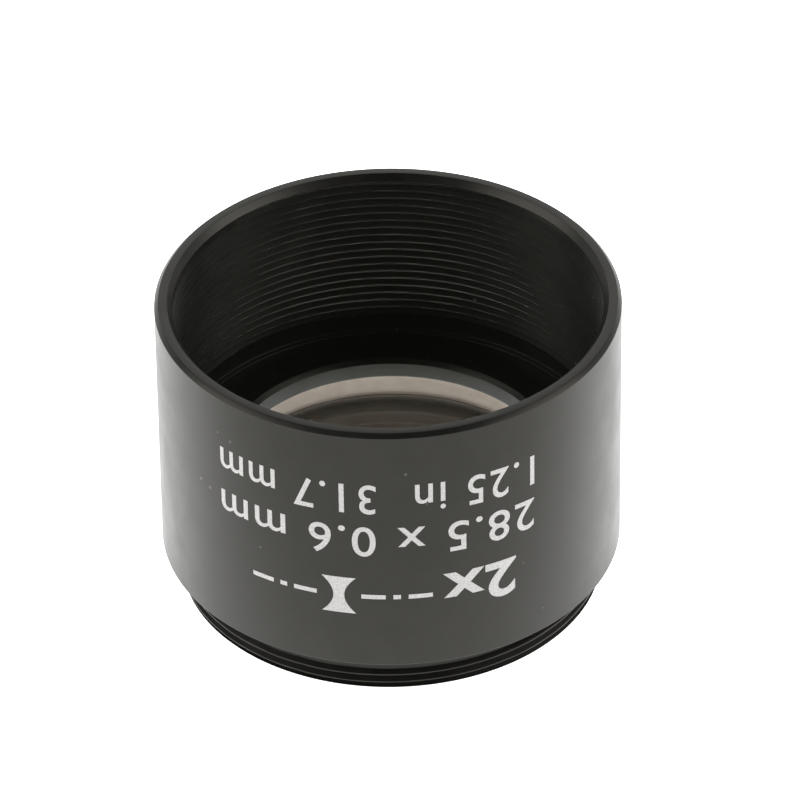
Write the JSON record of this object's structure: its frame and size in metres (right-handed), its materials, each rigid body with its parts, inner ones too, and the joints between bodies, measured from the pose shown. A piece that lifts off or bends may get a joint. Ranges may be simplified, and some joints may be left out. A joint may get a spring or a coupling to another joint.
{
  "type": "barlow lens cell",
  "caption": "Short black barrel holding a cemented negative lens behind a slotted retaining ring, threaded inside at one end and outside on the nose, to magnify what a telescope eyepiece shows.",
  "frame": {"origin": "centre of the nose's end face, on the optical axis", "axes": "+Z along the optical axis, from the male-threaded nose towards the female-threaded end"},
  "size_m": [0.031, 0.031, 0.0217],
  "materials": {
    "anodised_barrel": "satin black anodised",
    "anodised_ring": "matt black anodised",
    "crown_glass": "polished, coated",
    "flint_glass": "polished, coated",
    "optical_cement": "clear"
  },
  "bodies": {
    "barrel": {"barrel": "anodised_barrel"},
    "doublet": {"crown_element": "crown_glass", "cement_film": "optical_cement", "flint_element": "flint_glass"},
    "ring": {"retaining_ring": "anodised_ring"}
  },
  "joints": [
    {"name": "lens_lift", "type": "slide", "parent": "barrel", "child": "doublet", "axis": [0, 0, 1], "range_m": [0, 0.0015]},
    {"name": "ring_turn", "type": "hinge", "parent": "doublet", "child": "ring", "pos_m": [0, 0, 0.0081], "axis": [0, 0, 1], "range_deg": [0, 900]}
  ],
  "couplings": [
    {"joint": "lens_lift", "follows": "ring_turn", "m_per_rad": 0.000095493}
  ]
}
